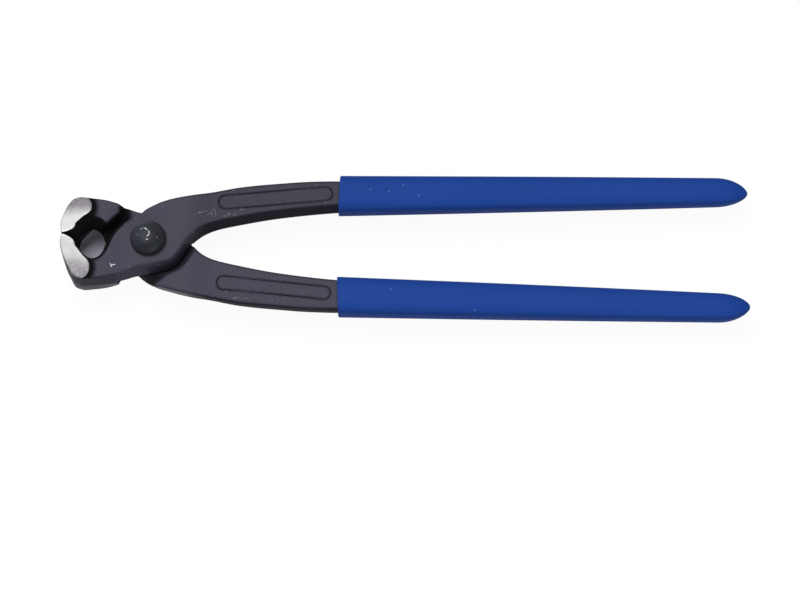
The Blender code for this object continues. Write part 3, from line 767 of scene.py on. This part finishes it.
def forging_finish(name, ground_colour, chips, scratches, arm_shade):
    """Black satin forging. The ground jaw side has its bright colour by the cutting edge and a painted
    shade, darker, towards the jaw's outside. Walls of the eye, the lap pocket, the pocket's ramp, the
    arm's and neck's sides, grooves and the hollow behind the ground side carry painted shade and painted
    shadow and are darkest."""
    f = Finish(bpy.data.materials.new(name))
    x, y, z = f.axes()
    grain = f.noise(0.5, 3.0)
    patches = f.noise(7.0, 2.0)
    stand, reach = f.attribute("crest"), f.attribute("ground_reach")
    worn = f.between(stand, 0.10, 0.34) * f.between(f.noise(2.2), 0.42, 0.66)
    worn = worn * 0.6 + f.specks(2.4, 0.34, 0.08) * 0.4
    black = f.mix(patches, BLACK_LOW, BLACK_HIGH)
    black = f.mix(f.between(grain, 0.35, 0.7) * 0.5, black, BLACK_GRAIN)
    black = f.mix(worn, black, BLACK_WORN)
    # painted shade: the front arm darker than its plate
    black = f.mix(f.between(x, *ARM_SHADE_START) * arm_shade, black, ARM_SHADE_BLACK)
    steep = f.between(f.attribute("level"), *STEEP_LEVEL)
    # painted shade in the hollow behind the ground side
    hollow = f.between(reach, *HOLLOW_FADE) * f.between(reach, *HOLLOW_START)
    hollow = hollow * f.between(abs(z), *HOLLOW_HEIGHT)
    # painted shade on the eye's walls
    eye_wall = f.between(f.attribute("eye_depth"), *EYE_DEPTH) * steep * f.between(x, *EYE_BACK)
    eye_wall = eye_wall * f.between(x, *EYE_FRONT)
    lap_reach = f.attribute("lap_reach")
    # painted shadow from the neck's nose, on the lap pocket next to it
    lap_wall = f.between(lap_reach, *LAP_WALL_REACH) * f.between(x, *LAP_WALL_START)
    # painted shadow at the foot of the plate, on the arm's ramp
    arm_ramp = f.between(lap_reach, *ARM_RAMP_REACH) * f.between(x, *ARM_RAMP_START) * ARM_RAMP_DARK
    # painted shade on the arm's steep sides
    arm_wall = steep * f.between(x, *ARM_WALL_START) * ARM_WALL_DARK
    # painted shade on the neck's steep sides
    neck_wall = steep * f.between(x, *NECK_WALL_START) * f.between(z, *NECK_WALL_HEIGHT) * NECK_DARK
    # painted shade in grooves and creases
    groove = f.between(stand, *GROOVE_STAND) * GROOVE_DARK
    # painted shade and painted shadow: the strongest of these masks mixes in the darkest colour and a
    # rougher skin
    dark = hollow.math("MAXIMUM", hollow, eye_wall)
    dark = dark.math("MAXIMUM", dark, lap_wall)
    for wall in (arm_wall, neck_wall, arm_ramp):
        dark = dark.math("MAXIMUM", dark, wall)
    dark = dark.math("MAXIMUM", dark, groove)
    black = f.mix(dark, black, PAINTED_SHADE_BLACK)
    top = f.between(z, *MARK_HEIGHT)
    broken = f.between(f.noise(0.7, 3.0), 0.38, 0.62)
    black = f.mix(f.strokes(scratches, 0.42) * top * broken * 0.75, black, SCRATCH_GREY)
    if chips:
        black = f.mix(f.strokes(chips, 0.40) * top * 0.9, black, CHIP_GREY)
    streak = f.noise(0.7, 3.0, (1, 0.35, 0.35))
    shade = f.noise(6.0, 1.0) * 4.0 - 2.0
    ground = f.between(f.attribute("ground_under"), *GROUND_UNDER) * f.between(reach, *GROUND_REACH)
    # painted shade: the ground side darker towards the jaw's outside
    bright = f.mix(f.between(abs(y) + shade, *GROUND_SHADE_START), ground_colour, GROUND_PAINTED_SHADE)
    cloudy = f.between(streak, 0.3, 0.8) * 0.08 + f.between(f.noise(1.3, 3.0), 0.4, 0.65) * 0.12
    bright = f.mix(cloudy, bright, GROUND_PALE)
    relief = grain * 0.7 + patches * 0.3
    return f.surface({
        "Base Color": f.mix(ground, black, bright),
        "Roughness": f.between(patches, 0.2, 0.8) * 0.08 + 0.46 + dark * (1 - ground) * 0.5,
        "Metallic": ground * 0.85,
        "Specular IOR Level": 0.1,
        "Normal": f.bump(relief * (1 - ground) + streak * ground * 0.25, 0.05),
    })


def rivet_finish():
    """Blackened, glossier steel, a little uneven, with a painted sheen to one side and painted highlights
    on its crown.
    """
    f = Finish(bpy.data.materials.new("blackened_rivet"))
    x, y, z = f.axes()
    patches = f.noise(1.6, 2.0)
    black = f.mix(patches, RIVET_LOW, RIVET_HIGH)
    # painted sheen: the dome lighter and bluer towards -X and +Y
    black = f.mix(f.between(x - y * 0.6, 2.0, -7.0), black, RIVET_PAINTED_SHEEN)
    broken = f.between(f.noise(0.9, 3.0), 0.36, 0.60)
    # painted highlight: a bright hook on the crown
    hook_highlight = f.strokes(RIVET_HIGHLIGHT_HOOK, 0.5) * f.between(z, *RIVET_TOP) * broken
    # painted highlights: two faint glints on the dome
    glint = f.strokes(RIVET_HIGHLIGHT_SPOTS, 0.8) * f.between(z, *RIVET_TOP) * 0.2
    black = f.mix(glint, black, RIVET_PAINTED_GLINT)
    return f.surface({
        "Base Color": f.mix(hook_highlight, black, RIVET_PAINTED_HIGHLIGHT),
        "Roughness": patches * 0.12 + 0.30,
        "Specular IOR Level": 0.08,
        "Normal": f.bump(f.noise(0.5, 3.0), 0.03),
    })


def vinyl_finish():
    """Royal blue dipped vinyl: matt, faintly clouded, with a few specks of dust in the skin."""
    f = Finish(bpy.data.materials.new("blue_vinyl"))
    cloud = f.noise(14.0, 2.0, (0.5, 1, 1))
    specks = f.specks(7.0, 0.35, 0.07)
    specks = specks.math("MAXIMUM", specks, f.strokes(SLEEVE_DUST, 0.7))
    blue = f.mix(cloud, VINYL_LOW, VINYL_HIGH)
    return f.surface({
        "Base Color": f.mix(specks * 0.5, blue, VINYL_DUST),
        "Roughness": cloud * 0.1 + 0.46,
        "Specular IOR Level": 0.04,
        "Normal": f.bump(f.noise(0.8, 3.0), 0.03),
    })


def make_camera():
    """Stands back from its target along the tilted and turned line of sight, and rolls on it."""
    back = Vector((sin(CAMERA_TILT) * sin(CAMERA_TURN), -sin(CAMERA_TILT) * cos(CAMERA_TURN),
                   cos(CAMERA_TILT)))
    right = Vector((cos(CAMERA_TURN), sin(CAMERA_TURN), 0))
    up = back.cross(right)
    across = cos(CAMERA_ROLL) * right + sin(CAMERA_ROLL) * up
    above = cos(CAMERA_ROLL) * up - sin(CAMERA_ROLL) * right
    camera = bpy.data.objects.new("camera", bpy.data.cameras.new("camera"))
    camera.data.sensor_width = 36
    camera.data.lens = CAMERA_LENS
    camera.matrix_world = Matrix.Translation(CAMERA_TARGET + back * CAMERA_DISTANCE) @ Matrix(
        (across, above, back)).transposed().to_4x4()
    bpy.context.collection.objects.link(camera)
    bpy.context.scene.camera = camera


def make_lamp(name, place, size, power):
    """A square soft lamp that faces the point below the tool's middle."""
    data = bpy.data.lights.new(name, "AREA")
    data.size, data.energy = size, power
    lamp = bpy.data.objects.new(name, data)
    lamp.location = place
    lamp.rotation_euler = Vector(place).to_track_quat("Z", "Y").to_euler()
    bpy.context.collection.objects.link(lamp)


def seen_directly(finish):
    """1 for what the camera sees, also in a mirror or through glass, and 0 for bounced light."""
    path = finish.node("ShaderNodeLightPath", output="Is Camera Ray")
    rays = path.socket.node.outputs
    glossy, through = (Wire(finish, rays[k]) for k in ("Is Glossy Ray", "Is Transmission Ray"))
    return path.math("MAXIMUM", path.math("MAXIMUM", path, glossy), through)


def floor_finish():
    """Pale floor. Part of its white is its own, so that the tool's shadow on it stays light, but
    not in the eye, where it has none of its own white and a grey painted shadow under the lamps' shadow."""
    f = Finish(bpy.data.materials.new("pale_floor"))
    x, y, z = f.axes()
    seen = seen_directly(f)
    off_eye = (x - EYE_FLOOR[0]) * (x - EYE_FLOOR[0]) + (y - EYE_FLOOR[1]) * (y - EYE_FLOOR[1])
    open_floor = f.between(off_eye, *(r ** 2 for r in EYE_FLOOR_RIM))
    own = open_floor * FLOOR_OWN_WHITE * seen
    # painted shadow: the floor grey where it is seen through the eye
    pale = f.mix(open_floor, EYE_PAINTED_SHADOW, FLOOR_PALE)
    colour = f.mix(seen, FLOOR_BOUNCE, pale)
    diffuse = f.node("ShaderNodeBsdfDiffuse", inputs={"Color": colour})
    white = f.node("ShaderNodeEmission", inputs={"Color": (1, 1, 1, 1)})
    both_parts = f.node("ShaderNodeMixShader", inputs={0: own, 1: diffuse, 2: white})
    f.node("ShaderNodeOutputMaterial", inputs={"Surface": both_parts})
    return f.owner


def make_floor():
    """A square sheet at nought height, round the tool's middle."""
    mesh = bpy.data.meshes.new("floor")
    corners = [(FLOOR_HALF * a, FLOOR_HALF * b, 0) for a, b in ((-1, -1), (1, -1), (1, 1), (-1, 1))]
    mesh.from_pydata(corners, [], [(0, 1, 2, 3)])
    floor = bpy.data.objects.new("floor", mesh)
    bpy.context.collection.objects.link(floor)
    mesh.materials.append(floor_finish())


def make_world():
    """White where the camera sees it, and a low even light on everything else."""
    bpy.context.scene.world = bpy.data.worlds.new("studio")
    f = Finish(bpy.context.scene.world)
    strength = seen_directly(f) * (1 - AMBIENT) + AMBIENT
    sky = f.node("ShaderNodeBackground", inputs={"Color": (1, 1, 1, 1), "Strength": strength})
    f.node("ShaderNodeOutputWorld", inputs={"Surface": sky})


front, rear = make_forgings()
rivet = make_rivet()
sleeves = make_sleeves()
front.data.materials.append(forging_finish(
    "front_steel", FRONT_BRIGHT, FRONT_CHIPS, FRONT_SCRATCHES, FRONT_ARM_SHADE))
rear.data.materials.append(forging_finish("rear_steel", REAR_BRIGHT, (), REAR_SCRATCHES, 0.0))
rivet.data.materials.append(rivet_finish())
for piece in sleeves:
    piece.data.materials.append(vinyl_finish())

make_camera()
make_floor()
make_lamp("key", *KEY_LAMP)
make_lamp("fill", *FILL_LAMP)
make_world()
bpy.context.scene.view_settings.view_transform = "Standard"
